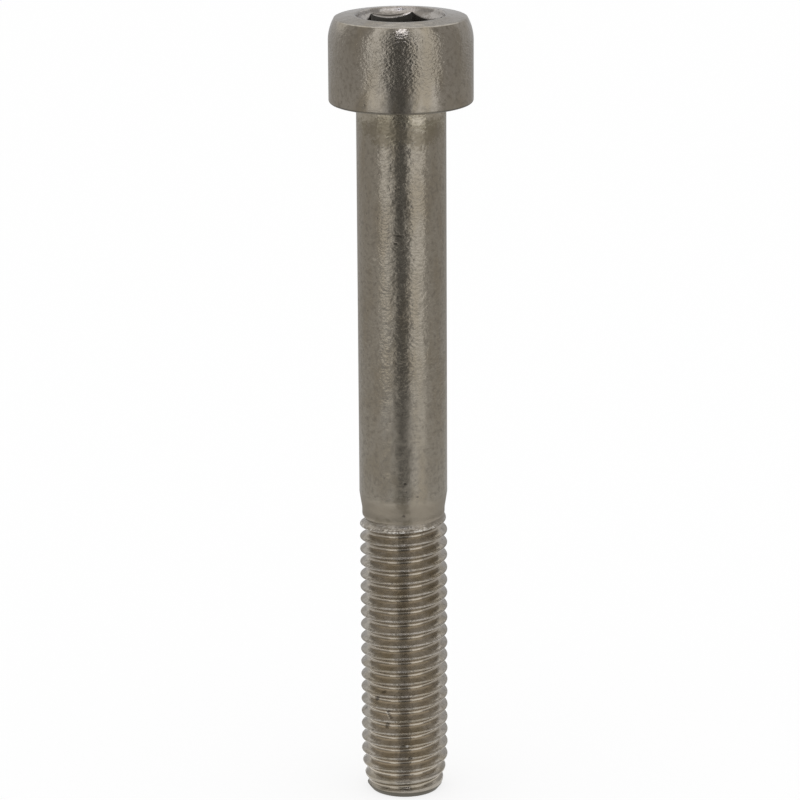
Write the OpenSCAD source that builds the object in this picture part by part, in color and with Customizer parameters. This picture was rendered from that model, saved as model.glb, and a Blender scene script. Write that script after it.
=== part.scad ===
// Hex socket head cap screw, metric coarse thread, made from one blank.
// The origin is the middle of the bearing face under the head. The head points to +Z and
// the screw stands on its threaded end. Sizes are in millimetres.

/* [Head] */
// Diameter of the head
head_dia = 15.9; // [14:0.1:18]
// Height of the head, from the bearing face to the socket's mouth
head_height = 9.65; // [8.5:0.05:12]
// Diameter at the crisp edge of the top face
top_dia = 14.6; // [13:0.1:15]
// How far the top face rises from its edge to the socket's mouth
crown = 0.35; // [0.05:0.05:0.6]
// Radius of the curve from the side of the head to the top face
shoulder_r = 5; // [3:0.5:8]
// Radius on the head's lower edge
seat_edge_r = 0.3; // [0.1:0.05:0.6]

/* [Socket] */
// Width across the flats of the hexagon
socket_af = 8.1; // [7:0.05:8.3]
// Depth of the hexagon, from the socket's mouth
socket_depth = 5.3; // [4:0.1:6]
// Included angle of the drilled cone below the hexagon
drill_angle = 120; // [100:5:150]
// Diameter of the socket's conical mouth at the top face
mouth_dia = 9.85; // [9.5:0.05:10.4]
// Diameter of the mouth at its foot
mouth_foot_dia = 9.4; // [9.4:0.05:9.5]
// Depth of the mouth
mouth_depth = 0.5; // [0.2:0.05:1]
// Included angle of the cone that leads from the mouth's foot into the hexagon
lead_angle = 104; // [80:2:140]

/* [Shank] */
// Length of the screw under the head
length = 80; // [60:1:150]
// Diameter of the plain shank
shank_dia = 9.9; // [9.6:0.05:10]
// Fillet radius between the shank and the bearing face
fillet_r = 0.5; // [0.4:0.05:0.6]
// Diameter of the neck, where the thread runs out
neck_dia = 9.3; // [9.1:0.05:9.5]
// Length of the taper from the shank to the neck
neck_taper = 1.9; // [0.5:0.1:3]
// Length of the neck between the taper and the thread's run-out
neck_length = 0.4; // [0.2:0.1:2]

/* [Thread] */
// Diameter over the thread's crests
thread_dia = 9.85; // [9.75:0.05:9.95]
// Pitch of the thread
pitch = 1.5; // [1.25:0.05:1.6]
// Length of full thread, from the end of the screw
thread_length = 32; // [16:1:50]
// Length over which the thread runs out into the neck
run_out = 1.2; // [0.5:0.1:3]
// Diameter of the flat end
end_dia = 7.8; // [7:0.1:8.2]
// Height of the chamfer at the flat end
chamfer_height = 0.4; // [0.2:0.05:0.8]
// Diameter over the chamfer, where the thread's tapered lead starts
lead_dia = 8.6; // [8.3:0.1:9.4]
// Length of the thread's tapered lead, from the chamfer to the full diameter
lead_length = 3; // [0.5:0.1:5]
// Direction in which a crest leaves the end face
crest_start = 133; // [0:1:359]
// Flat strips round each turn of the thread
turn_steps = 30; // [16:2:36]

/* [Hidden] */
$fn = 96;
steel = [0.47, 0.45, 0.41];

flank_angle = 60;
crest_width = pitch / 8;
root_width = pitch / 6;
flank_rise = (pitch - crest_width - root_width) / 2;
thread_depth = flank_rise / tan(flank_angle / 2);

head_r = head_dia / 2;
shank_r = shank_dia / 2;
neck_r = neck_dia / 2;
crest_r = thread_dia / 2;
root_r = crest_r - thread_depth;
top_edge_z = head_height - crown;
run_out_z = -length + thread_length;
neck_end_z = run_out_z + run_out;
taper_end_z = neck_end_z + neck_length;
taper_z = taper_end_z + neck_taper;
// The shoulder's arc starts tangent to the side and narrows the head to the top edge
narrowing = head_r - top_dia / 2;
shoulder_z = top_edge_z - sqrt(narrowing * (2 * shoulder_r - narrowing));
// What passes through a face reaches this far beyond it
beyond = 0.5;
// The thread's core starts this far inside the neck's surface
inset = 0.03;

// Half section of the head: side, shoulder, crowned top and rounded lower edge
module head_outline() {
    crown_slope = crown / (top_dia / 2 - mouth_dia / 2);
    rim_z = head_height + crown_slope * (mouth_dia - mouth_foot_dia) / 2;
    difference() {
        square([head_r, top_edge_z]);
        difference() {
            translate([top_dia / 2 - beyond, shoulder_z])
                square([narrowing + 2 * beyond, top_edge_z - shoulder_z + beyond]);
            translate([head_r - shoulder_r, shoulder_z]) circle(r = shoulder_r);
        }
        translate([head_r - seat_edge_r, seat_edge_r]) difference() {
            translate([0, -seat_edge_r - beyond]) square(seat_edge_r + beyond);
            circle(r = seat_edge_r);
        }
    }
    polygon([
        [0, top_edge_z - beyond],
        [top_dia / 2 - beyond, top_edge_z - beyond],
        [top_dia / 2, top_edge_z],
        [mouth_foot_dia / 2, rim_z],
        [0, rim_z]
    ]);
}

// Plain shank, the taper under it and the neck
module shank_outline() {
    polygon([
        [0, beyond],
        [shank_r, beyond],
        [shank_r, taper_z],
        [neck_r, taper_end_z],
        [neck_r, neck_end_z],
        [0, neck_end_z]
    ]);
    difference() {
        translate([0, -fillet_r]) square([shank_r + fillet_r, fillet_r + beyond]);
        translate([shank_r + fillet_r, -fillet_r]) circle(r = fillet_r);
    }
}

module blank() {
    rotate_extrude() {
        head_outline();
        shank_outline();
    }
}

// Hexagon with a drilled bottom, a steep conical mouth and a flatter cone between them
module socket() {
    hex_r = socket_af / 2 / cos(30);
    foot_r = mouth_foot_dia / 2;
    mouth_slope = (mouth_dia / 2 - foot_r) / mouth_depth;
    drill_depth = socket_af / 2 / tan(drill_angle / 2);
    lead_depth = foot_r / tan(lead_angle / 2);
    translate([0, 0, head_height - socket_depth])
        cylinder(h = socket_depth + beyond, r = hex_r, $fn = 6);
    translate([0, 0, head_height - socket_depth - drill_depth])
        cylinder(h = drill_depth, r1 = 0, r2 = socket_af / 2);
    translate([0, 0, head_height - mouth_depth])
        cylinder(
            h = mouth_depth + beyond,
            r1 = foot_r,
            r2 = foot_r + mouth_slope * (mouth_depth + beyond)
        );
    translate([0, 0, head_height - mouth_depth - lead_depth])
        cylinder(h = lead_depth, r1 = 0, r2 = foot_r);
}

// One pitch of the thread's section, from the middle of the root: [radius, height]
section = [
    [root_r, root_width / 2],
    [crest_r, root_width / 2 + flank_rise],
    [crest_r, pitch - root_width / 2 - flank_rise],
    [root_r, pitch - root_width / 2]
];

// The thread is full up to the run-out, and fades into the neck above it
function fullness(z) = min(1, max(0, (neck_end_z - z) / run_out));
function faded(r, z) = neck_r - inset + (r - neck_r + inset) * fullness(z);

// Threaded rod from below the end face up to z_high, as upright columns of points, one for
// each step round a turn. The columns climb with the helix, so that the last of them meets
// the first one a turn higher.
module threaded_rod(z_high) {
    rows = len(section);
    start_z = -length - pitch * (1.5 + crest_start / 360);
    turns = ceil((z_high - start_z) / pitch) + 1;
    count = turns * rows;
    last = (turn_steps - 1) * count;
    low = turn_steps * count;
    high = low + 1;
    points = [
        for (step = [0:turn_steps - 1], i = [0:count - 1])
            let (
                angle = 360 * step / turn_steps,
                z = start_z + pitch * (floor(i / rows) + step / turn_steps) + section[i % rows][1],
                r = faded(section[i % rows][0], z)
            )
            [r * cos(angle), r * sin(angle), z]
    ];
    walls = [
        for (step = [0:turn_steps - 1], i = [0:count - 2])
            let (
                seam = step == turn_steps - 1,
                a = step * count + i,
                b = seam ? i + rows : a + count
            )
            if (!seam || b < count - 1) each [[a, a + 1, b + 1], [a, b + 1, b]]
    ];
    low_fan = [
        for (step = [0:turn_steps - 2]) [low, step * count, (step + 1) * count],
        [low, last, rows],
        for (i = [0:rows - 1]) [low, i + 1, i]
    ];
    high_fan = [
        for (step = [0:turn_steps - 2]) [high, (step + 2) * count - 1, (step + 1) * count - 1],
        [high, count - 1, low - 1 - rows],
        for (i = [0:rows - 1]) [high, low - 1 - rows + i, low - rows + i]
    ];
    polyhedron(
        points = [each points, [0, 0, start_z + pitch / 2], [0, 0, start_z + pitch * (turns + 0.5)]],
        faces = [each walls, each low_fan, each high_fan],
        convexity = 10
    );
}

// Outline that the flat end, its chamfer and the tapered lead leave for the thread
module rod_limit() {
    slope = lead_length / (crest_r - lead_dia / 2);
    lead_z = -length + chamfer_height;
    outside = crest_r + beyond;
    rotate_extrude() polygon([
        [0, -length],
        [end_dia / 2, -length],
        [lead_dia / 2, lead_z],
        [outside, lead_z + slope * (outside - lead_dia / 2)],
        [outside, taper_end_z],
        [0, taper_end_z]
    ]);
}

module thread() {
    intersection() {
        threaded_rod(taper_end_z + beyond);
        rod_limit();
    }
}

module cap_screw() {
    color(steel) {
        difference() {
            blank();
            socket();
        }
        thread();
    }
}

cap_screw();
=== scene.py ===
# %% [markdown]
# # A hex socket cap screw in steel
# The real screw is one piece of steel. A press forges the head and its socket on a length of
# wire, and two hardened dies roll the thread, so nothing on it is cut or joined. This lesson
# makes it the same way: one section is turned into the blank, another is wound into the
# thread, and the two are closed into a single skin. Finishes, light and camera come after.

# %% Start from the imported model
import math

import bmesh
import bpy
from mathutils import Matrix, Vector


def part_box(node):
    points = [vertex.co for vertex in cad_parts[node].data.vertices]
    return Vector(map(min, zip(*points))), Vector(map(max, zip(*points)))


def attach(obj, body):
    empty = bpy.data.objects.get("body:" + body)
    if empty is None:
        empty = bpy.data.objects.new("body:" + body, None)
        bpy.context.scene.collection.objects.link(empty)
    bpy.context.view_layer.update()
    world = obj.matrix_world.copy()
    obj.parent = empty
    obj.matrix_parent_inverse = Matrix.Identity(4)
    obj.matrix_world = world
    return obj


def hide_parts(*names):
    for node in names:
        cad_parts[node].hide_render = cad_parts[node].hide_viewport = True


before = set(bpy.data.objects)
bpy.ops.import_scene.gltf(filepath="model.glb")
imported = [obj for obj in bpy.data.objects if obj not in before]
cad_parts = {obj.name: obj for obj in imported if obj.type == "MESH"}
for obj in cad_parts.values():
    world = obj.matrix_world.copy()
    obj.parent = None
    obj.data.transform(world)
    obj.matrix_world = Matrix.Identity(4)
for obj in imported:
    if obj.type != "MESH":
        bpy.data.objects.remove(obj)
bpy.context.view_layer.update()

# %% [markdown]
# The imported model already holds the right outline, so its box gives the three sizes that must
# agree with it: the head's radius, the height of the top and the height of the end. A maker
# would read the rest from the drawing of this size of screw. Each size is named here once, in
# metres, and every later step works from these names.

# %% Sizes of the screw
MM = 0.001
low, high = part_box("cap_screw")
HEAD_R = high.x
MOUTH_Z = high.z
END_Z = low.z

CROWN = 0.35 * MM
TOP_R = 7.3 * MM
TOP_EDGE_Z = MOUTH_Z - CROWN
SHOULDER_R = 5 * MM
SEAT_EDGE_R = 0.3 * MM

MOUTH_R = 4.925 * MM
MOUTH_FOOT_R = 4.7 * MM
MOUTH_DEPTH = 0.5 * MM
MOUTH_ROUND = 0.3 * MM
LEAD_SLOPE = math.tan(math.radians(52))
LIP = 0.12 * MM
BAND = 0.16 * MM
HALF_FLATS = 4.05 * MM
SOCKET_FLOOR_Z = MOUTH_Z - 5.3 * MM
DRILL_SLOPE = math.tan(math.radians(60))

SHANK_R = 4.95 * MM
FILLET_R = 0.5 * MM
TAPER_Z = -44.5 * MM
NECK_R = 4.65 * MM
NECK_Z = -46.4 * MM
RUN_OUT_Z = -48.4 * MM
RUN_OUT = 1.6 * MM

CREST_R = 4.925 * MM
PITCH = 1.5 * MM
THREAD_DEPTH = 0.92 * MM
END_R = 3.9 * MM
CHAMFER_R = 4.3 * MM
CHAMFER = 0.5 * MM
LEAD_LENGTH = 3 * MM
CREST_START = math.radians(133)

COLUMNS = 150
print(f"head {2 * HEAD_R / MM:.2f} wide, from {END_Z / MM:.2f} to {MOUTH_Z / MM:.2f} mm")

# %% [markdown]
# A turned or forged round form is drawn as half a section and spun about its axis. Three small
# helpers draw such a section as a wire in the XZ plane: one sets the pen down, one draws a
# straight stretch by extruding the last vertex, and one spins the last vertex round a centre,
# which leaves a true arc. Drawing with arcs keeps the section to the few points it needs.


# %% A pen for sections
def pen(bm, r, z):
    return bm.verts.new((r, 0, z))


def line(bm, last, r, z, steps=1):
    start = last.co.copy()
    for step in range(1, steps + 1):
        last = bmesh.ops.extrude_vert_indiv(bm, verts=[last])["verts"][0]
        last.co = start.lerp(Vector((r, 0, z)), step / steps)
    return last


def arc(bm, last, r, z, degrees, steps):
    made = bmesh.ops.spin(
        bm, geom=[last], cent=(r, 0, z), axis=(0, -1, 0), angle=math.radians(degrees), steps=steps
    )
    return made["geom_last"][0]


# %% [markdown]
# The blank is everything but the thread: neck, taper, shank, the fillet under the head, the
# bearing face, the side with its long shoulder curve, the crowned top and the round mouth of
# the socket. It ends at the foot of the mouth, because the hexagon below is not round. No
# forged edge is sharp on the real screw, so the mouth's rim is an arc and the crisp edge of the
# top gets a tiny chamfer, which catches the light as the real edge does.


# %% Section of the blank
EDGE = 0.05 * MM
SAME_PLACE = 0.001 * MM
MOUTH_FOOT_Z = MOUTH_Z - MOUTH_DEPTH


def draw_head(bm, last):
    last = line(bm, last, SHANK_R, -FILLET_R, steps=60)
    last = arc(bm, last, SHANK_R + FILLET_R, -FILLET_R, degrees=-90, steps=8)
    last = line(bm, last, HEAD_R - SEAT_EDGE_R, 0, steps=4)
    last = arc(bm, last, HEAD_R - SEAT_EDGE_R, SEAT_EDGE_R, degrees=90, steps=6)
    narrowing = HEAD_R - TOP_R
    rise = math.asin(math.sqrt(narrowing * (2 * SHOULDER_R - narrowing)) / SHOULDER_R)
    shoulder_z = TOP_EDGE_Z - SHOULDER_R * math.sin(rise)
    last = line(bm, last, HEAD_R, shoulder_z, steps=8)
    last = arc(bm, last, HEAD_R - SHOULDER_R, shoulder_z, math.degrees(rise), steps=12)
    last = line(bm, last, TOP_R - 2 * EDGE, TOP_EDGE_Z + EDGE)
    lean = math.atan2(MOUTH_R - MOUTH_FOOT_R, MOUTH_DEPTH)
    rim_r = MOUTH_R + MOUTH_ROUND * math.tan((math.pi / 2 - lean) / 2)
    last = line(bm, last, rim_r, MOUTH_Z, steps=8)
    last = arc(bm, last, rim_r, MOUTH_Z - MOUTH_ROUND, 90 - math.degrees(lean), steps=6)
    return line(bm, last, MOUTH_FOOT_R, MOUTH_FOOT_Z, steps=2)


def spin_round(bm, geom):
    bmesh.ops.spin(
        bm, geom=geom, cent=(0, 0, 0), axis=(0, 0, 1), angle=math.tau, steps=COLUMNS, use_merge=True
    )
    bmesh.ops.remove_doubles(bm, verts=bm.verts, dist=SAME_PLACE)


blank = bmesh.new()
tip = pen(blank, NECK_R, NECK_Z)
tip = line(blank, tip, SHANK_R, TAPER_Z, steps=6)
tip = draw_head(blank, tip)
section_points = len(blank.verts)
spin_round(blank, blank.verts[:] + blank.edges[:])
print("blank:", section_points, "points in the section,", len(blank.faces), "faces")

# %% [markdown]
# The real hexagon is pressed into the head by a six-sided punch, and a cone leads the key into
# it. Here the open ring at the mouth's foot is extruded again and again, and a small function
# says where each vertex of the new ring goes, from its direction. The number of columns divides
# by six, so each corner of the hexagon has a column of its own. The cone and the flat walls meet
# in a curve that is lowest at the middle of each flat, and a rounded lip follows it. The lip
# and the band above it, which is painted dark as painted shade, get rings of their own, which
# narrow towards the corners, because there is less of the cone left there.


# %% Press the hexagon
LIP_SHARE = 0.7
BAND_SHARE = 0.25
LIP_MIDDLE_OUT = 0.3
LIP_MIDDLE_DOWN = 0.15
LIP_FOOT_DOWN = 0.8
DRILL_STEP = 0.01 * HALF_FLATS


def hexagon_r(turn):
    return HALF_FLATS / math.cos(turn % (math.tau / 6) - math.tau / 12)


def cone_z(r):
    return MOUTH_FOOT_Z - (MOUTH_FOOT_R - r) / LEAD_SLOPE


def lip_size(turn):
    return min(LIP, LIP_SHARE * (MOUTH_FOOT_R - hexagon_r(turn)))


def band_top(turn):
    band = min(BAND, BAND_SHARE * (MOUTH_FOOT_R - hexagon_r(turn)))
    r = hexagon_r(turn) + lip_size(turn) + band
    return r, cone_z(r)


def lip_top(turn):
    r = hexagon_r(turn) + lip_size(turn)
    return r, cone_z(r)


def lip_middle(turn):
    r = hexagon_r(turn) + LIP_MIDDLE_OUT * lip_size(turn)
    return r, cone_z(r) - LIP_MIDDLE_DOWN * lip_size(turn)


def lip_foot(turn):
    r = hexagon_r(turn)
    return r, cone_z(r) - LIP_FOOT_DOWN * lip_size(turn)


def wall_foot(turn):
    return hexagon_r(turn), SOCKET_FLOOR_Z


def drill_top(turn):
    return HALF_FLATS - DRILL_STEP, SOCKET_FLOOR_Z - DRILL_STEP


def drill_point(turn):
    return 0, SOCKET_FLOOR_Z - HALF_FLATS / DRILL_SLOPE


def extrude_ring(bm, ring, place):
    made = bmesh.ops.extrude_edge_only(bm, edges=ring)["geom"]
    verts = {v for v in made if isinstance(v, bmesh.types.BMVert)}
    for v in verts:
        turn = math.atan2(v.co.y, v.co.x)
        r, z = place(turn)
        v.co = (r * math.cos(turn), r * math.sin(turn), z)
    return [e for e in made if isinstance(e, bmesh.types.BMEdge) and set(e.verts) <= verts]


def open_edges(bm, z_low, z_high):
    return [
        e for e in bm.edges if e.is_boundary and all(z_low <= v.co.z <= z_high for v in e.verts)
    ]


ring = open_edges(blank, MOUTH_FOOT_Z - EDGE, MOUTH_FOOT_Z + EDGE)
for place in (band_top, lip_top, lip_middle, lip_foot, wall_foot, drill_top, drill_point):
    ring = extrude_ring(blank, ring, place)
bmesh.ops.remove_doubles(blank, verts=blank.verts, dist=SAME_PLACE)
print(f"lip from {lip_top(math.tau / 12)[1] / MM:.2f} to {lip_top(0)[1] / MM:.2f} mm high")

# %% [markdown]
# A rolled thread has no sharp corner: the dies leave a round root, and the steel that flows up
# between them makes a round crest. One pitch of that section is two arcs joined by straight
# flanks of 60 degrees. Both radii together are what the sharp triangle is taller than the
# thread, so choosing the crest's share settles the root's. Spinning the wire once round while it
# climbs one pitch makes a turn of the helix. Copies of that turn, each a pitch higher, meet it
# and one another along the root, where their doubled vertices are merged.

# %% Wind the thread
ROOT_R = CREST_R - THREAD_DEPTH
BOTH_RADII = PITCH * math.sqrt(3) / 2 - THREAD_DEPTH
CREST_SHARE = 0.38
CREST_ROUND = CREST_SHARE * BOTH_RADII
ROOT_ROUND = BOTH_RADII - CREST_ROUND
FLANK = math.radians(60)
ARC_STEPS = 4
TURNS_BELOW = 2.5
ROOT_SEAM = 0.005 * MM


def draw_pitch(bm, z):
    middle = z + PITCH / 2
    lift = math.sin(FLANK)
    tip = pen(bm, ROOT_R, z)
    tip = arc(bm, tip, ROOT_R + ROOT_ROUND, z, degrees=-60, steps=ARC_STEPS)
    tip = line(bm, tip, CREST_R - CREST_ROUND / 2, middle - lift * CREST_ROUND, steps=2)
    tip = arc(bm, tip, CREST_R - CREST_ROUND, middle, degrees=120, steps=2 * ARC_STEPS)
    tip = line(bm, tip, ROOT_R + ROOT_ROUND / 2, z + PITCH - lift * ROOT_ROUND, steps=2)
    return arc(bm, tip, ROOT_R + ROOT_ROUND, z + PITCH, degrees=-60, steps=ARC_STEPS)


thread = bmesh.new()
start_z = END_Z - PITCH * (TURNS_BELOW + CREST_START / math.tau)
draw_pitch(thread, start_z)
bmesh.ops.spin(
    thread,
    geom=thread.verts[:] + thread.edges[:],
    cent=(0, 0, 0),
    axis=(0, 0, 1),
    dvec=(0, 0, PITCH / COLUMNS),
    angle=math.tau,
    steps=COLUMNS,
)
one_turn = thread.verts[:] + thread.edges[:] + thread.faces[:]
turns = math.ceil((NECK_Z - start_z) / PITCH) + 1
for turn in range(1, turns):
    copied = bmesh.ops.duplicate(thread, geom=one_turn)["geom"]
    copied_verts = [v for v in copied if isinstance(v, bmesh.types.BMVert)]
    bmesh.ops.translate(thread, verts=copied_verts, vec=(0, 0, turn * PITCH))
bmesh.ops.remove_doubles(thread, verts=thread.verts, dist=ROOT_SEAM)
print("thread:", turns, "turns,", len(thread.faces), "faces")

# %% [markdown]
# At its upper end the thread runs out: the dies stop, and the groove fades into the neck. At
# the lower end the first turns are low, so that a nut finds its way on, and a chamfer ends
# them. Both are made by moving each vertex in or out to a radius worked out from its height.
# The wire was already thin where the low turns are, so the dies did not fill them: their crests
# stay narrow and round, where a turned lead would leave wide flats. The smooth minimum rounds
# them off under the lead's cone. Two flat cuts then leave the length between the end of the
# screw and the join at the neck.

# %% Fade the thread out, and taper its start
BLEND = 0.2 * MM
LEAST_FILLED = 0.8
JOIN_Z = RUN_OUT_Z + RUN_OUT + 0.15 * MM
ON_PLANE = 0.0001 * MM


def ease(share):
    share = min(1, max(0, share))
    return share * share * (3 - 2 * share)


def smooth_min(a, b):
    near = max(0, 1 - abs(a - b) / BLEND)
    return min(a, b) - near * near * BLEND / 4


def thread_r(r, z):
    r = NECK_R + (r - NECK_R) * ease((RUN_OUT_Z + RUN_OUT - z) / RUN_OUT)
    above_chamfer = z - END_Z - CHAMFER
    lead = CHAMFER_R + (CREST_R - CHAMFER_R) * above_chamfer / LEAD_LENGTH
    filled = min(1, max(LEAST_FILLED, (lead - ROOT_R) / THREAD_DEPTH))
    chamfer = CHAMFER_R + (CHAMFER_R - END_R) * above_chamfer / CHAMFER
    return min(smooth_min(ROOT_R + (r - ROOT_R) * filled, lead), chamfer)


for v in thread.verts:
    r = v.co.xy.length
    v.co.xy *= thread_r(r, v.co.z) / r

for z, side in ((END_Z, "clear_inner"), (JOIN_Z, "clear_outer")):
    bmesh.ops.bisect_plane(
        thread,
        geom=thread.verts[:] + thread.edges[:] + thread.faces[:],
        dist=ON_PLANE,
        plane_co=(0, 0, z),
        plane_no=(0, 0, 1),
        **{side: True},
    )
print("thread between the cuts:", len(thread.faces), "faces")

# %% [markdown]
# The blank and the thread are two open skins that face each other across a small gap at the
# neck. Bridging their edge loops closes it, and a filled and inset end closes the foot.
# A single closed skin matters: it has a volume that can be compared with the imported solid, and
# its normals can be worked out without doubt. Edges that turn by more than thirty degrees stay
# sharp, and the rest is shaded smooth.

# %% Close the skin
SHARP = math.radians(30)
END_BORDER = 0.6 * MM


def take_in(bm, other):
    holder = bpy.data.meshes.new("holder")
    other.to_mesh(holder)
    bm.from_mesh(holder)
    bpy.data.meshes.remove(holder)


take_in(blank, thread)
bmesh.ops.bridge_loops(blank, edges=open_edges(blank, JOIN_Z - EDGE, NECK_Z + EDGE))
foot = bmesh.ops.contextual_create(blank, geom=open_edges(blank, END_Z - EDGE, END_Z + EDGE))
bmesh.ops.inset_region(blank, faces=foot["faces"], thickness=END_BORDER)
bmesh.ops.poke(blank, faces=foot["faces"])
bmesh.ops.recalc_face_normals(blank, faces=blank.faces)
for f in blank.faces:
    f.smooth = True
for e in blank.edges:
    e.smooth = e.is_manifold and e.calc_face_angle() < SHARP
open_left = sum(not e.is_manifold for e in blank.edges)
triangles = sum(len(f.verts) - 2 for f in blank.faces)
print(f"skin: {triangles} triangles, {open_left} open edges, {blank.calc_volume() / MM**3:.0f} mm3")

# %% [markdown]
# The skin becomes one object. Its place is in its mesh, so the object stays at the origin,
# unturned and unscaled, as the imported node's does. It rides on the only body there is, and the
# imported node is hidden in its place.

# %% Make the piece
screw_mesh = bpy.data.meshes.new("screw")
blank.to_mesh(screw_mesh)
blank.free()
thread.free()
screw = bpy.data.objects.new("screw", screw_mesh)
bpy.context.scene.collection.objects.link(screw)
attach(screw, "root")
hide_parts("cap_screw")
print("piece:", screw.name, len(screw_mesh.polygons), "faces")

# %% [markdown]
# From here on come the finishes. Small helpers keep the node trees short. One adds a node and
# fills its sockets, where a socket given as a value is linked. Others do this for a sum, for a
# fade from 0 to 1 between two limits, which is how most masks here are made, for a blend of two
# colours, for a vector stretched along its axes, for its length and for a cloudy noise. The
# last two make a node group, which is an effect with named inputs and outputs, and use it.


# %% Helpers for node trees
def node(tree, kind, inputs=None, **settings):
    made = tree.nodes.new(kind)
    for name, value in settings.items():
        setattr(made, name, value)
    for socket, value in (inputs or {}).items():
        if isinstance(value, bpy.types.NodeSocket):
            tree.links.new(value, made.inputs[socket])
        else:
            made.inputs[socket].default_value = value
    return made


def maths(tree, operation, *values):
    return node(tree, "ShaderNodeMath", dict(enumerate(values)), operation=operation).outputs[0]


def fade(tree, value, from_value, to_value):
    made = node(
        tree,
        "ShaderNodeMapRange",
        {"Value": value, "From Min": from_value, "From Max": to_value},
        interpolation_type="SMOOTHSTEP",
    )
    return made.outputs["Result"]


def blend(tree, share, a, b):
    made = node(tree, "ShaderNodeMix", {"Factor": share, 6: a, 7: b}, data_type="RGBA")
    return made.outputs[2]


def stretch(tree, vector, factors):
    return node(
        tree, "ShaderNodeVectorMath", {0: vector, 1: factors}, operation="MULTIPLY"
    ).outputs[0]


def distance(tree, vector):
    return node(tree, "ShaderNodeVectorMath", {0: vector}, operation="LENGTH").outputs["Value"]


def noise(tree, vector, per_mm, detail):
    inputs = {"Vector": vector, "Scale": per_mm, "Detail": detail}
    return node(tree, "ShaderNodeTexNoise", inputs).outputs[0]


def group(name, inputs, outputs):
    tree = bpy.data.node_groups.new(name, "ShaderNodeTree")
    for in_out, sockets in (("INPUT", inputs), ("OUTPUT", outputs)):
        for socket, kind in sockets.items():
            tree.interface.new_socket(socket, in_out=in_out, socket_type="NodeSocket" + kind)
    return tree, tree.nodes.new("NodeGroupInput").outputs, tree.nodes.new("NodeGroupOutput").inputs


def use(tree, name, **inputs):
    return node(tree, "ShaderNodeGroup", inputs, node_tree=bpy.data.node_groups[name]).outputs


# %% [markdown]
# Every finish depends on where it is on the screw: the head's lower band is smooth, the roots
# of the thread are bright and its crests are pitted. The first group gives a place in
# millimetres, the distance from the axis and the height, so that every pattern after it is set
# in millimetres too. It reads Object coordinates, which stay put on the steel in any view.

# %% Where on the screw
tree, _, wanted = group(
    "place_on_screw", {}, {"Place": "Vector", "Radius": "Float", "Height": "Float"}
)
coordinates = node(tree, "ShaderNodeTexCoord").outputs["Object"]
place = node(
    tree, "ShaderNodeVectorMath", {0: coordinates, "Scale": 1 / MM}, operation="SCALE"
).outputs[0]
tree.links.new(place, wanted["Place"])
tree.links.new(distance(tree, stretch(tree, place, (1, 1, 0))), wanted["Radius"])
tree.links.new(node(tree, "ShaderNodeSeparateXYZ", {0: place}).outputs["Z"], wanted["Height"])

# %% [markdown]
# Forged steel that has been tumbled and pickled is covered in soft dimples about a third of a
# millimetre across, over slow waves a millimetre or two long. Both are heights in millimetres,
# so one bump node turns them into a true slope. The dimples break the edges of the reflected
# bands into grains, and the waves make those edges wander, as on the real head and shank. The
# drawn shank was also rolled round between the dies, which left its dimples flat and wide, so
# the pattern can be squashed along the screw.

# %% Dimples and waves
tree, given, wanted = group(
    "dimples_and_waves",
    {"Place": "Vector", "Dimple": "Float", "Depth": "Float", "Waves": "Float", "Squash": "Float"},
    {"Relief": "Float"},
)
WAVES_PER_MM = 0.7
squash = node(tree, "ShaderNodeCombineXYZ", {0: 1, 1: 1, 2: given["Squash"]}).outputs[0]
dimples_per_mm = maths(tree, "DIVIDE", 1, given["Dimple"])
dimples = noise(tree, stretch(tree, given["Place"], squash), dimples_per_mm, detail=2)
waves = noise(tree, given["Place"], WAVES_PER_MM, detail=1)
wave_height = maths(tree, "MULTIPLY", waves, given["Waves"])
relief = maths(tree, "MULTIPLY_ADD", dimples, given["Depth"], wave_height)
tree.links.new(relief, wanted["Relief"])

# %% [markdown]
# Here and there the surface holds a small round pit, where scale came off or another screw
# struck it in the drum. A cell pattern gives a distance to the middle of each cell, and its
# random colour picks the few cells that get a pit.

# %% Pits
tree, given, wanted = group(
    "pits", {"Place": "Vector", "Cell": "Float", "Share": "Float"}, {"Pit": "Float"}
)
PIT_RIM = 0.2
PIT_FLOOR = 0.06
cells_per_mm = maths(tree, "DIVIDE", 1, given["Cell"])
cells = node(
    tree, "ShaderNodeTexVoronoi", {"Vector": given["Place"], "Scale": cells_per_mm}
).outputs
chance = node(tree, "ShaderNodeSeparateColor", {0: cells["Color"]}).outputs[0]
chosen = maths(tree, "LESS_THAN", chance, given["Share"])
bowl = fade(tree, cells["Distance"], PIT_RIM, PIT_FLOOR)
tree.links.new(maths(tree, "MULTIPLY", bowl, chosen), wanted["Pit"])

# %% [markdown]
# Larger marks are few enough to be placed one by one, as on the real screw. This group gives
# one of them: a soft spot round a centre, wider than it is high, as a blow across the screw
# leaves it, with a ragged outline. Each material decides what its spots are, and so the same
# group makes dark nicks, broad stains, and light spots, flecks and glints painted as painted
# highlights.

# %% One nick
tree, given, wanted = group(
    "nick", {"Place": "Vector", "Centre": "Vector", "Size": "Float"}, {"Nick": "Float"}
)
FLATNESS = 1.6
TEETH_PER_MM = 3
RAGGED = 1.6
NICK_CORE = 0.3
apart = node(
    tree, "ShaderNodeVectorMath", {0: given["Place"], 1: given["Centre"]}, operation="SUBTRACT"
).outputs[0]
reach = distance(tree, stretch(tree, apart, (1, 1, FLATNESS)))
share = maths(tree, "DIVIDE", reach, given["Size"])
share = maths(tree, "SUBTRACT", share, RAGGED / 2)
outline = noise(tree, given["Place"], TEETH_PER_MM, detail=2)
share = maths(tree, "MULTIPLY_ADD", outline, RAGGED, share)
tree.links.new(fade(tree, share, 1, NICK_CORE), wanted["Nick"])

# %% [markdown]
# Bare steel is not one colour. Pickling leaves it a little browner in some patches and greyer
# in others, and the photograph shows both, a few millimetres across and long in the direction
# of the wire, with a finer mottle on top. The group mixes three colours given by each material.

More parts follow.
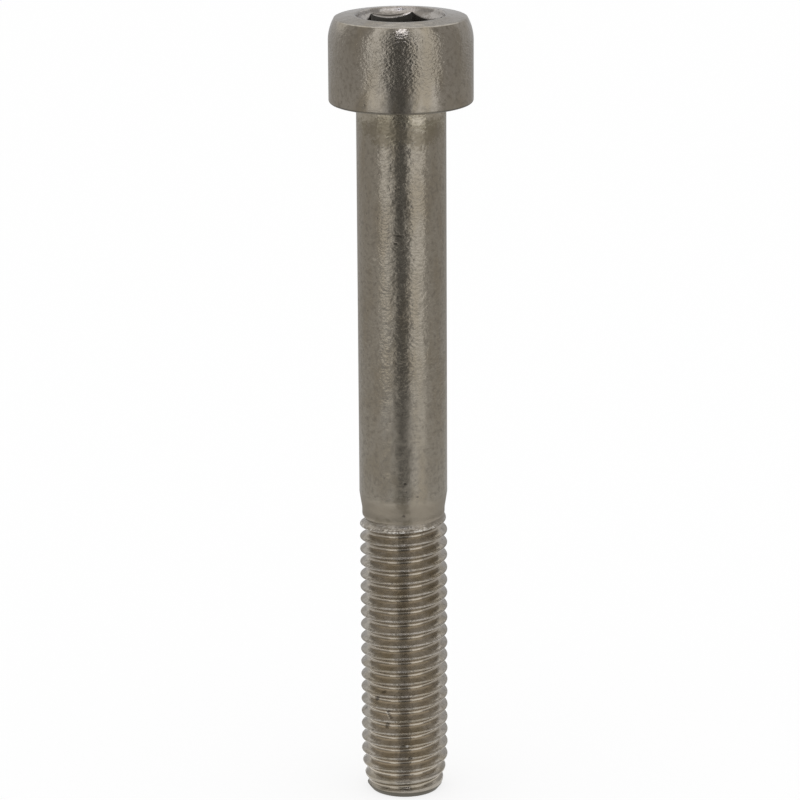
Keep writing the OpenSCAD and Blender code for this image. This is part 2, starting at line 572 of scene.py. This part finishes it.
# %% Patches of tone
tree, given, wanted = group(
    "patches_of_tone",
    {"Place": "Vector", "Steel": "Color", "Brown": "Color", "Dark": "Color"},
    {"Color": "Color", "Patch": "Float"},
)
DRAWN_OUT = 0.35
PATCHES_PER_MM = 0.45
MOTTLE_PER_MM = 2.2
upright = stretch(tree, given["Place"], (1, 1, DRAWN_OUT))
broad = noise(tree, upright, PATCHES_PER_MM, detail=3)
fine = noise(tree, given["Place"], MOTTLE_PER_MM, detail=3)
browned = blend(tree, fade(tree, broad, 0.42, 0.68), given["Steel"], given["Brown"])
mottled = blend(tree, fade(tree, fine, 0.45, 0.75), browned, given["Dark"])
tree.links.new(mottled, wanted["Color"])
tree.links.new(broad, wanted["Patch"])
print("groups:", [g.name for g in bpy.data.node_groups])

# %% [markdown]
# Each region of the screw has its own material, because each was worked in its own way: the
# head was forged, the shank drawn, the thread rolled, and the socket pressed. All are the same
# steel, so they share the groups above with values of their own. A metal's base colour is its
# reflection, and the light bands of the photograph, which reflect white, give that colour.
#
# Every material begins with a place and a tone and ends with dirt in its marks and one bump node
# for its relief. In between, masks made from heights and radii in millimetres say where
# something happened to the steel, and where light or shade is painted into the colour. Marks that
# show well are listed one by one.


# %% Bare steel and its marks
STEEL = (0.4, 0.361, 0.299, 1)
BROWN = (0.36, 0.315, 0.246, 1)
DARK = (0.3, 0.268, 0.22, 1)
MARK_DIRT = (0.12, 0.105, 0.085, 1)
MARK_DIRT_SHARE = 0.8
MARK_DEPTH = 0.02
CAMERA_SIDE = math.radians(-104)


def bare_steel(name, steel=STEEL):
    made = bpy.data.materials.new(name)
    made.use_nodes = True
    tree = made.node_tree
    shader = tree.nodes["Principled BSDF"]
    shader.inputs["Metallic"].default_value = 1
    where = use(tree, "place_on_screw")
    tone = use(tree, "patches_of_tone", Place=where["Place"], Steel=steel, Brown=BROWN, Dark=DARK)
    return made, tree, shader, where, tone


def relief_of(tree, place, dimple, depth, waves, squash):
    return use(
        tree, "dimples_and_waves", Place=place, Dimple=dimple, Depth=depth, Waves=waves, Squash=squash
    )["Relief"]


def nicks(tree, place, marks):
    """All marks together, each as degrees from the camera's side, height, radius and size."""
    total = 0
    for side, z, r, size in marks:
        turn = CAMERA_SIDE + math.radians(side)
        centre = (r * math.cos(turn), r * math.sin(turn), z)
        mark = use(tree, "nick", Place=place, Centre=centre, Size=size)["Nick"]
        total = maths(tree, "MAXIMUM", mark, total)
    return total


def paint(tree, color, mask, share, tone):
    return blend(tree, maths(tree, "MULTIPLY", mask, share), color, tone)


def finish_steel(tree, shader, color, roughness, relief, marks):
    relief = maths(tree, "MULTIPLY_ADD", marks, -MARK_DEPTH, relief)
    bump = node(tree, "ShaderNodeBump", {"Height": relief, "Distance": MM, "Strength": 1})
    color = paint(tree, color, marks, MARK_DIRT_SHARE, MARK_DIRT)
    tree.links.new(color, shader.inputs["Base Color"])
    tree.links.new(roughness, shader.inputs["Roughness"])
    tree.links.new(bump.outputs[0], shader.inputs["Normal"])


# %% [markdown]
# The head filled a closed die. Its lower band was wiped smooth by the die's wall, and above it
# the steel kept a deep grain, which fades again on the crowned top. One pattern covers all of it,
# because its depth is a mask, and colour follows the same mask: grained steel holds a little
# more dirt. A thin dark line is painted in the curve of the lower edge, as painted shade.


# %% Forged steel of the head
HEAD_TONE = (0.42, 0.382, 0.326, 1)
# Painted shade for the curve of the head's lower edge
EDGE_DIRT = (0.1, 0.09, 0.07, 1)


def head_steel():
    made, tree, shader, where, tone = bare_steel("forged_head_steel", HEAD_TONE)
    place, height = where["Place"], where["Height"]
    forged = fade(tree, height, 1, 4.6)
    grained = maths(tree, "MULTIPLY", forged, fade(tree, height, 9.4, 7.9))
    depth = maths(tree, "MULTIPLY_ADD", grained, 0.055, 0.012)
    relief = relief_of(tree, place, dimple=0.32, depth=depth, waves=0.05, squash=1.5)
    pit = use(tree, "pits", Place=place, Cell=1.1, Share=0.12)["Pit"]
    outside = fade(tree, where["Radius"], 7.4, 7.6)
    lower_edge = maths(tree, "MULTIPLY", fade(tree, height, 0.32, 0.16), outside)
    color = paint(tree, tone["Color"], grained, 0.3, DARK)
    # paint the dark line along the lower edge, as painted shade
    color = paint(tree, color, lower_edge, 0.8, EDGE_DIRT)
    roughness = maths(tree, "MULTIPLY_ADD", forged, -0.05, 0.21)
    finish_steel(tree, shader, color, roughness, relief, pit)
    return made


# %% [markdown]
# The drawn shank is dimpled in its upper part and rolled smooth towards the thread, so the relief
# gets shallower from 27 to 36 mm under the head. Close under the head, where tumbling hardly
# reaches, the steel is streaked brown along the wire and blotched with stains, and a few spots are
# painted light, as painted highlights. The taper was never polished, so it is rougher than the
# rest, its colour is darkened as painted shade, and dirt lies on it in soft patches.


# %% Marks on the shank and its taper
SHANK_NICKS = (
    (-3.6, -12.16, 4.95, 0.3),
    (-3.7, -13.95, 4.95, 0.4),
    (-7.6, -14.85, 4.95, 0.36),
    (2.1, -42.27, 4.95, 0.28),
    (-25.8, -41.7, 4.95, 0.25),
    (18, -43.88, 4.95, 0.25),
    (0.6, -46.09, 4.7, 0.3),
)
# Painted highlights: light spots painted on the shank
RUBBED_SPOTS = (
    (23, -1.2, 4.95, 1.1),
    (-66, -0.8, 4.95, 1.4),
    (-50, -0.9, 4.95, 1.5),
    (-36, -0.6, 4.95, 0.8),
    (40, -0.8, 4.95, 1),
    (52, -0.9, 4.95, 1.2),
    (-38, -16.8, 4.95, 0.4),
)
STAINS = (
    (-36, -2.4, 4.95, 2.2),
    (-21, -2.1, 4.95, 2.5),
    (-26, -3.4, 4.95, 1.8),
    (-8, -2.4, 4.95, 2.4),
    (6, -2.9, 4.95, 2.4),
    (28, -3.4, 4.95, 2.2),
    (46, -2.7, 4.95, 2),
)
TAPER_STAINS = (
    (-4, -44.2, 4.95, 1.1),
    (-2, -45, 4.87, 1),
    (4, -45.6, 4.77, 0.7),
    (-22, -46.75, 4.66, 0.6),
    (-36, -47.1, 4.65, 0.9),
    (5, -46.95, 4.65, 0.8),
)
print("marks on the shank:", len(SHANK_NICKS + RUBBED_SPOTS + STAINS + TAPER_STAINS))

# %% Drawn steel of the shank
STREAK_DARK = (0.3, 0.262, 0.19, 1)
STREAK_LIGHT = (0.43, 0.39, 0.3, 1)
STAIN = (0.26, 0.224, 0.163, 1)
# Colour of the painted highlights on the shank
RUBBED = (0.68, 0.62, 0.52, 1)
# Painted shade: the taper and the neck are painted darker
TAPER_TONE = (0.322, 0.284, 0.228, 1)
TAPER_STAIN = (0.19, 0.165, 0.12, 1)


def shank_steel():
    made, tree, shader, where, tone = bare_steel("drawn_shank_steel")
    place, height = where["Place"], where["Height"]
    wandering = maths(tree, "MULTIPLY_ADD", tone["Patch"], 7, height)
    under_head = fade(tree, wandering, 0, 1.6)
    rolled_smooth = fade(tree, height, -27, -36)
    taper = fade(tree, height, -44, -45.5)
    depth = maths(tree, "MULTIPLY_ADD", rolled_smooth, -0.039, 0.055)
    depth = maths(tree, "MULTIPLY_ADD", under_head, 0.02, depth)
    relief = relief_of(tree, place, dimple=0.42, depth=depth, waves=0.08, squash=1.6)
    pit = use(tree, "pits", Place=place, Cell=0.9, Share=0.1)["Pit"]
    marks = nicks(tree, place, SHANK_NICKS)
    marks = maths(tree, "MAXIMUM", marks, maths(tree, "MULTIPLY", pit, 0.6))
    streaks = relief_of(tree, place, dimple=0.9, depth=1, waves=0, squash=4)
    streaked = blend(tree, fade(tree, streaks, 0.35, 0.65), STREAK_DARK, STREAK_LIGHT)
    stained = nicks(tree, place, STAINS)
    color = paint(tree, tone["Color"], under_head, 0.75, streaked)
    color = paint(tree, color, stained, 0.7, STAIN)
    # paint the taper darker, as painted shade
    color = blend(tree, taper, color, TAPER_TONE)
    color = paint(tree, color, nicks(tree, place, TAPER_STAINS), 0.5, TAPER_STAIN)
    # paint the light spots, as painted highlights
    color = paint(tree, color, nicks(tree, place, RUBBED_SPOTS), 0.5, RUBBED)
    roughness = maths(tree, "MULTIPLY_ADD", rolled_smooth, 0.04, 0.225)
    roughness = maths(tree, "MULTIPLY_ADD", stained, 0.1, roughness)
    roughness = maths(tree, "MULTIPLY_ADD", taper, 0.2, roughness)
    finish_steel(tree, shader, color, roughness, relief, marks)
    return made


# %% [markdown]
# Rolling leaves the roots of a thread smooth, and their colour is painted lighter as a painted
# highlight; handling pits its crests. The neck above it goes on as the taper began, with the same
# painted shade. Where the dies ran out, the first crest is torn, and flecks of the torn steel are
# painted bright as painted highlights, so bright marks are listed beside the dark ones. The low
# turns at the start are painted darker, and the chamfer and the end are rough, because they were
# sheared off and not rolled, and painted dark, as painted shade.


# %% Marks in the thread
THREAD_NICKS = (
    (-50.4, -68.54, 4.04, 0.55),
    (-31.5, -67.3, 4.47, 0.38),
    (-28, -69.8, 4.03, 0.26),
    (-26.2, -70, 4.04, 0.26),
    (-22.7, -70.15, 4.25, 0.26),
    (-19.8, -70.28, 4.49, 0.26),
    (-29.2, -71.44, 4.02, 0.36),
    (-28.3, -71.6, 4.2, 0.36),
    (-49.5, -72.2, 4.6, 0.4),
    (-86, -70.45, 4.38, 0.35),
    (-3.8, -73.49, 4.92, 0.45),
    (-1.8, -73.47, 4.92, 0.42),
    (6.7, -74.95, 4.92, 0.4),
)
# Painted highlights: bright flecks on the torn first crest and along a scratch
THREAD_SPARKS = (
    (-30.8, -69.76, 4.03, 0.3),
    (-28.9, -69.97, 4.04, 0.3),
    (-25.3, -70.12, 4.25, 0.3),
    (-22.3, -70.25, 4.49, 0.3),
    (3, -73.46, 4.92, 0.3),
    (-24.4, -47.93, 4.78, 0.42),
    (-18.5, -47.96, 4.82, 0.42),
    (-12.8, -47.99, 4.87, 0.4),
    (-1, -47.97, 4.87, 0.36),
    (18.5, -47.89, 4.86, 0.42),
    (23.6, -47.87, 4.85, 0.45),
    (29, -47.83, 4.85, 0.42),
)
print("marks in the thread:", len(THREAD_NICKS), "dark and", len(THREAD_SPARKS), "bright")

# %% Rolled steel of the thread
THREAD_TONE = (0.428, 0.393, 0.344, 1)
# Smooth roots, painted lighter as a painted highlight
ROOT_TONE = (0.508, 0.454, 0.376, 1)
# Colour of the painted highlights in the thread
SPARK = (0.75, 0.71, 0.65, 1)
# Painted shade: the low turns are painted darker and the chamfer and the end dark
LOW_TURN_TONE = (0.27, 0.243, 0.19, 1)
END_TONE = (0.145, 0.133, 0.108, 1)


def thread_steel():
    made, tree, shader, where, tone = bare_steel("rolled_thread_steel", THREAD_TONE)
    place, height, radius = where["Place"], where["Height"], where["Radius"]
    neck = fade(tree, height, -47.6, -47)
    first_turn = fade(tree, height, -48.8, -47.8)
    first_turn = maths(tree, "MINIMUM", first_turn, maths(tree, "SUBTRACT", 1, neck))
    low_turns = fade(tree, height, -77, -78.8)
    above_end = fade(tree, height, -79.3, -79.1)
    end = fade(tree, height, -79.3, -79.45)
    crest = fade(tree, radius, 4.74, 4.86)
    flank = maths(tree, "MULTIPLY_ADD", low_turns, 0.15, radius)
    root = maths(tree, "MULTIPLY", fade(tree, flank, 4.4, 4.15), above_end)
    depth = maths(tree, "MULTIPLY_ADD", first_turn, 0.07, 0.02)
    depth = maths(tree, "MULTIPLY_ADD", crest, 0.05, depth)
    relief = relief_of(tree, place, dimple=0.3, depth=depth, waves=0.05, squash=1)
    ragged_crest = maths(tree, "MULTIPLY", first_turn, fade(tree, radius, 4.66, 4.76))
    scraps = relief_of(tree, place, dimple=0.8, depth=1, waves=0, squash=1)
    torn = maths(tree, "MULTIPLY", ragged_crest, fade(tree, scraps, 0.57, 0.64))
    pit = use(tree, "pits", Place=place, Cell=0.8, Share=0.12)["Pit"]
    marks = nicks(tree, place, THREAD_NICKS)
    marks = maths(tree, "MAXIMUM", marks, maths(tree, "MULTIPLY", pit, crest))
    # torn flecks and listed marks painted bright, as painted highlights
    sparks = maths(tree, "MAXIMUM", torn, nicks(tree, place, THREAD_SPARKS))
    # the roots are painted lighter, as painted highlights
    color = blend(tree, root, tone["Color"], ROOT_TONE)
    color = blend(tree, sparks, color, SPARK)
    # the neck gets the taper's painted shade
    color = blend(tree, neck, color, TAPER_TONE)
    low_stain = maths(tree, "MULTIPLY", nicks(tree, place, TAPER_STAINS), 0.5)
    color = paint(tree, color, low_stain, neck, TAPER_STAIN)
    # paint the low turns darker and the end dark, as painted shade
    color = paint(tree, color, low_turns, 0.35, LOW_TURN_TONE)
    color = blend(tree, end, color, END_TONE)
    roughness = maths(tree, "MULTIPLY_ADD", root, -0.1, 0.26)
    roughness = maths(tree, "MULTIPLY_ADD", end, 0.3, roughness)
    roughness = maths(tree, "MULTIPLY_ADD", neck, 0.2, roughness)
    finish_steel(tree, shader, color, roughness, relief, marks)
    return made


# %% [markdown]
# The punch left the socket smooth. The back of the mouth and one stretch of the lip are painted
# light as painted highlights and glints, and a narrow band between the two is painted dark as
# painted shade. Mouth, band and lip are one finish with different tones and marks, so one function
# makes all three. The walls are dull and painted almost black, as painted shade deep in the socket.


# %% Pressed steel of the socket
MOUTH_TONE = (0.4, 0.375, 0.35, 1)
# Painted shade: a narrow dark band above the lip
BAND_TONE = (0.11, 0.1, 0.092, 1)
LIP_TONE = (0.375, 0.353, 0.33, 1)
# Colour of the painted highlights and glints in the socket
SHINE = (0.95, 0.89, 0.86, 1)
# Painted shade: the socket's walls painted almost black
WALL_COAT = (0.01, 0.013, 0.018, 1)
# Painted highlights at the back of the mouth
RUBBED_MOUTH = (
    (168, 9.4, 4.8, 1),
    (178, 9.4, 4.8, 1.2),
    (188, 9.35, 4.8, 1.2),
    (199, 9.35, 4.8, 0.9),
)
# Painted glints on the lip
RUBBED_LIP = ((173, 8.75, 4.4, 0.5), (170, 8.9, 4.5, 0.5), (166.5, 9.05, 4.6, 0.5))


def mouth_steel(name, steel, marks, rubbing):
    made, tree, shader, where, _ = bare_steel(name)
    place = where["Place"]
    relief = relief_of(tree, place, dimple=0.5, depth=0.06, waves=0.2, squash=1)
    pit = use(tree, "pits", Place=place, Cell=0.8, Share=0.1)["Pit"]
    color = blend(tree, pit, steel, DARK)
    # paint the listed highlights and glints
    color = paint(tree, color, nicks(tree, place, marks), rubbing, SHINE)
    roughness = maths(tree, "MULTIPLY_ADD", pit, 0.2, 0.25)
    finish_steel(tree, shader, color, roughness, relief, pit)
    return made


def wall_steel():
    made, tree, shader, where, tone = bare_steel("pressed_wall_steel")
    place = where["Place"]
    relief = relief_of(tree, place, dimple=0.4, depth=0.02, waves=0.05, squash=0.3)
    pit = use(tree, "pits", Place=place, Cell=0.8, Share=0.1)["Pit"]
    # paint the walls almost black, as painted shade deep in the socket
    color = blend(tree, 0.8, tone["Color"], WALL_COAT)
    roughness = maths(tree, "MULTIPLY_ADD", pit, 0.1, 0.4)
    finish_steel(tree, shader, color, roughness, relief, pit)
    return made


mouth = mouth_steel("pressed_mouth_steel", MOUTH_TONE, RUBBED_MOUTH, 0.5)
# the band above the lip is painted dark, as painted shade
band = mouth_steel("shaded_band_steel", BAND_TONE, RUBBED_LIP, 0.5)
# the lip gets its painted glints at full strength
lip = mouth_steel("lip_steel_with_painted_glint", LIP_TONE, RUBBED_LIP, 1)
for made in (head_steel(), shank_steel(), thread_steel(), mouth, band, lip, wall_steel()):
    screw_mesh.materials.append(made)
print("materials:", [m.name for m in screw_mesh.materials])

# %% [markdown]
# A face's own place says which steel it gets, which is safer than face numbers that change with
# the mesh. Inside the mouth's radius it belongs to the socket, and there its distance from the
# hexagon tells the walls, the lip, the band painted dark as painted shade and the open mouth
# apart. The band shows on the back flat only, as in the photograph. Outside, its height decides:
# head, shank or thread.

# %% Which steel goes where
STEELS = range(len(screw_mesh.materials))
HEAD, SHANK, THREAD, MOUTH, BAND_ABOVE_LIP, ON_LIP, WALL = STEELS
BACK_FLAT = math.tau / 6
ON_WALL = 0.1 * LIP
ON_SEAT = 0.1 * EDGE


def steel_of(face):
    r, z = face.center.xy.length, face.center.z
    if r < MOUTH_R + MOUTH_ROUND / 2 and z > SOCKET_FLOOR_Z - HALF_FLATS:
        turn = math.atan2(face.center.y, face.center.x)
        if r < hexagon_r(turn) + ON_WALL:
            return WALL
        if r < lip_top(turn)[0]:
            return ON_LIP
        on_back_flat = BACK_FLAT < turn < BACK_FLAT + math.tau / 6
        return BAND_ABOVE_LIP if on_back_flat and r < band_top(turn)[0] else MOUTH
    if z > -ON_SEAT:
        return HEAD
    return SHANK if z > JOIN_Z else THREAD


for face in screw_mesh.polygons:
    face.material_index = steel_of(face)
counts = [sum(f.material_index == i for f in screw_mesh.polygons) for i in STEELS]
print("faces of head, shank, thread, mouth, band, lip and walls:", counts)

# %% [markdown]
# The photograph was taken in a plain white studio, and bare metal shows nothing but the room it
# stands in. The world is white to the camera and in reflections, and lights the floor evenly.
# The floor is a pale matt sheet. Most of what the camera sees of it is its own white, and the
# rest is painted by the light, so that the screw still throws its soft shadow on it.

# %% White room and floor
WHITE = (1, 1, 1, 1)
AMBIENT = 1.03
FLOOR_R = 1.5
FLOOR_TONE = (0.95, 0.95, 0.95, 1)
OWN_WHITE = 0.76


def seen_directly_or_in_metal(tree):
    path = node(tree, "ShaderNodeLightPath").outputs
    seen = maths(tree, "MAXIMUM", path["Is Camera Ray"], path["Is Glossy Ray"])
    return maths(tree, "MAXIMUM", seen, path["Is Transmission Ray"])


def light_room():
    world = bpy.data.worlds.new("white_room")
    bpy.context.scene.world = world
    world.use_nodes = True
    tree = world.node_tree
    tree.nodes.clear()
    seen = seen_directly_or_in_metal(tree)
    white = node(tree, "ShaderNodeBackground", {"Color": WHITE, "Strength": 1}).outputs[0]
    ambient = node(tree, "ShaderNodeBackground", {"Color": WHITE, "Strength": AMBIENT}).outputs[0]
    mix = node(tree, "ShaderNodeMixShader", {0: seen, 1: ambient, 2: white})
    node(tree, "ShaderNodeOutputWorld", {"Surface": mix.outputs[0]})


def stage_piece(bm, name, finish):
    mesh = bpy.data.meshes.new(name)
    bm.to_mesh(mesh)
    bm.free()
    mesh.materials.append(finish)
    made = bpy.data.objects.new(name, mesh)
    bpy.context.scene.collection.objects.link(made)
    return made


def floor_paint():
    made = bpy.data.materials.new("floor_paint")
    made.use_nodes = True
    tree = made.node_tree
    matt = tree.nodes["Principled BSDF"]
    matt.inputs["Base Color"].default_value = FLOOR_TONE
    matt.inputs["Roughness"].default_value = 1
    matt.inputs["Specular IOR Level"].default_value = 0
    own_white = node(tree, "ShaderNodeEmission", {"Strength": 1}).outputs[0]
    share = maths(tree, "MULTIPLY", seen_directly_or_in_metal(tree), OWN_WHITE)
    mix = node(tree, "ShaderNodeMixShader", {0: share, 1: matt.outputs[0], 2: own_white})
    tree.links.new(mix.outputs[0], tree.nodes["Material Output"].inputs["Surface"])
    return made


def disc(r, z, segments):
    bm = bmesh.new()
    bmesh.ops.create_circle(bm, cap_ends=True, segments=segments, radius=r)
    bmesh.ops.translate(bm, verts=bm.verts, vec=(0, 0, z))
    return bm


light_room()
stage_piece(disc(FLOOR_R, END_Z, 96), "floor", floor_paint())
print(f"floor {2 * FLOOR_R} m wide at {END_Z / MM:.0f} mm")

# %% [markdown]
# In an all-white room a metal screw would be a pale shape with no form. A photographer gives it
# bands with flags, which are dark and grey cards stood round it out of the picture. Here each
# card glows with its own even shade, so that no lamp changes it, and only reflections see it:
# camera, soft light and shadows pass it by. A card is a line, drawn with the pen as radius and
# height, and swept part of the way round the screw. So one helper makes cards that stand and
# cards that lie on the table, a hair apart where they overlap.

# %% Cards
ROOM_R = 0.55
ROOM_TOP = 0.6
CARD_LIFT = 0.04 * MM
WALL_GAP = 2 * MM
SWEEP_STEP = 5


def card_paint(name, shade):
    made = bpy.data.materials.new(name)
    made.use_nodes = True
    tree = made.node_tree
    tree.nodes.remove(tree.nodes["Principled BSDF"])
    glow = node(tree, "ShaderNodeEmission", {"Color": (*shade, 1)}).outputs[0]
    tree.links.new(glow, tree.nodes["Material Output"].inputs["Surface"])
    return made


def hang_card(bm, name, shade):
    made = stage_piece(bm, name, card_paint(name, shade))
    made.visible_camera = False
    made.visible_diffuse = False
    made.visible_transmission = False
    made.visible_shadow = False


def sweep_card(name, side, width, shade, section):
    """A card swept round the screw: section is its line from near to far, as radius and height."""
    bm = bmesh.new()
    tip = pen(bm, *section[0])
    for r, z in section[1:]:
        tip = line(bm, tip, r, z)
    bmesh.ops.spin(
        bm,
        geom=bm.verts[:] + bm.edges[:],
        cent=(0, 0, 0),
        axis=(0, 0, 1),
        angle=math.radians(width),
        steps=math.ceil(width / SWEEP_STEP),
    )
    turn = CAMERA_SIDE + math.radians(side - width / 2)
    bmesh.ops.rotate(bm, verts=bm.verts, cent=(0, 0, 0), matrix=Matrix.Rotation(turn, 3, "Z"))
    hang_card(bm, name, shade)


# %% [markdown]
# The dark band down the middle of the screw mirrors the photographer's side of the room. Four
# flags behind the camera make it, each narrower, darker and nearer than the last, so that the
# band has soft sides. They also lie along the table towards the screw, because the lower flanks
# of the thread look down. The white left open on both sides of them makes the two light bands.

# %% Dark flags in front
# Side and width in degrees, shade, radius where the flag starts on the table
FRONT = (
    (-4, 62, 0.82, 0.06),
    (-3.5, 50, 0.5, 0.06),
    (-1.8, 36, 0.2, 0.11),
    (-1.8, 17, 0.1, 0.11),
)
for layer, (side, width, tone, start) in enumerate(FRONT):
    z = END_Z + (layer + 1) * CARD_LIFT
    far = ROOM_R - (layer + 1) * WALL_GAP
    section = [(start, z), (far, z), (far, ROOM_TOP)]
    sweep_card(f"flag_front_{layer}", side, width, (tone, tone, tone), section)
print("flags in front:", len(FRONT))

# %% [markdown]
# The table would show white in every flank that looks down. Grey mats lie on it in layers: one
# in front of the foot, a near one and a paler veil on either side, and two wide ones that reach
# round to the back on each side.

# %% Grey mats on the table
# Name, side and width in degrees, shade, near and far radius, layer
MATS = (
    ("mat_middle", -1.8, 32, (0.42, 0.42, 0.42), 0.006, 0.11, 5),
    ("mat_near_left", -42, 34, (0.37, 0.38, 0.4), 0.09, 0.16, 5),
    ("mat_near_right", 25, 20, (0.45, 0.46, 0.48), 0.09, 0.16, 5),
    ("mat_veil_left", -46, 26, (0.55, 0.55, 0.55), 0.06, 0.26, 0.5),
    ("mat_veil_right", 46, 26, (0.7, 0.7, 0.7), 0.06, 0.26, 0.5),
    ("mat_side_left", -118.2, 122, (0.54, 0.54, 0.54), 0.06, 0.16, 1),
    ("mat_side_right", 119.8, 122, (0.54, 0.54, 0.54), 0.06, 0.16, 1),
    ("mat_far_left", -118.2, 122, (0.44, 0.43, 0.42), 0.16, ROOM_R, 1),
    ("mat_far_right", 119.8, 122, (0.42, 0.41, 0.4), 0.16, ROOM_R, 1),
)
for name, side, width, shade, near, far, layer in MATS:
    z = END_Z + layer * CARD_LIFT
    sweep_card(name, side, width, shade, [(near, z), (far, z)])
print("mats:", len(MATS))

# %% [markdown]
# Upright faces near the outline mirror the sides of the room, and the nearly flat top of the
# head mirrors its back. Grey walls stand there, so that the outline keeps a tone against the
# white background and the top stays darker than the white above it. A grey card closes the room
# overhead.

# %% Grey walls and ceiling
# Name, side and width in degrees, shade, height of the lower and the upper edge
WALLS = (
    ("wall_left", -81.4, 57.2, (0.42, 0.41, 0.4), END_Z, ROOM_TOP),
    ("wall_right", 84.3, 53, (0.41, 0.4, 0.39), END_Z, ROOM_TOP),
    ("wall_back_low", 180, 140, (0.55, 0.55, 0.56), END_Z, 0.1),
    ("wall_back_right", 152, 84, (0.55, 0.55, 0.56), 0.1, 0.3),
    ("wall_back_left", 222, 56, (0.78, 0.78, 0.78), 0.1, 0.3),
)
CEILING_SHADE = (0.6, 0.58, 0.55)
for name, side, width, shade, foot_z, top_z in WALLS:
    sweep_card(name, side, width, shade, [(ROOM_R, foot_z + CARD_LIFT), (ROOM_R, top_z)])
hang_card(disc(ROOM_R, ROOM_TOP, 64), "flag_above", CEILING_SHADE)
print("walls:", len(WALLS), "and a ceiling")

# %% [markdown]
# The cards shape the bands, and one small lamp in front of the screw and above it adds the glint
# on the shoulder of the head and the bright points on the crests. An area lamp shines along its
# own -Z axis, so it is placed by side, rise and distance, and its Z axis is turned to point away
# from the screw.


# %% Lamp
def lamp(name, side, rise, distance, size, power, color):
    data = bpy.data.lights.new(name, "AREA")
    data.color = color
    data.shape = "RECTANGLE"
    data.size, data.size_y = size
    data.energy = power
    made = bpy.data.objects.new(name, data)
    bpy.context.scene.collection.objects.link(made)
    turn = CAMERA_SIDE + math.radians(side)
    lift = math.radians(rise)
    away = Vector(
        (math.cos(turn) * math.cos(lift), math.sin(turn) * math.cos(lift), math.sin(lift))
    )
    made.location = away * distance
    made.rotation_mode = "QUATERNION"
    made.rotation_quaternion = away.to_track_quat("Z", "Y")
    print(name, "at", [round(c, 3) for c in made.location])


lamp(
    "lamp_front", side=2.5, rise=43, distance=0.4, size=(0.08, 0.04), power=0.046, color=(0.86, 0.88, 1)
)

# %% [markdown]
# A slender thing is photographed from well away with a long lens, so that its sides stay nearly
# parallel. The camera's distance, height, tilt, roll and lens were fitted until the outline of
# the head and the crests of the thread fell where the photograph has them. The standard view
# transform shows a colour about as it is written.

# %% Camera
CAMERA_AWAY = 395.62 * MM
CAMERA_ASIDE = -0.317 * MM
CAMERA_UP = 77.829 * MM
TILT_DOWN = math.radians(15.777)
ROLL = math.radians(-0.344)
LENS = 165.27
SENSOR = 36
NEAREST = 0.01
FARTHEST = 10

camera_data = bpy.data.cameras.new("camera")
camera_data.lens = LENS
camera_data.sensor_width = SENSOR
camera_data.clip_start = NEAREST
camera_data.clip_end = FARTHEST
camera = bpy.data.objects.new("camera", camera_data)
bpy.context.scene.collection.objects.link(camera)
heading = Matrix.Rotation(CAMERA_SIDE + math.pi / 2, 4, "Z")
standing = Matrix.Translation((CAMERA_ASIDE, -CAMERA_AWAY, CAMERA_UP))
tilt = Matrix.Rotation(math.pi / 2 - TILT_DOWN, 4, "X")
roll = Matrix.Rotation(ROLL, 4, "Z")
camera.matrix_world = heading @ standing @ tilt @ roll
bpy.context.scene.camera = camera
bpy.context.scene.view_settings.view_transform = "Standard"
print("camera", [round(c, 4) for c in camera.matrix_world.translation])
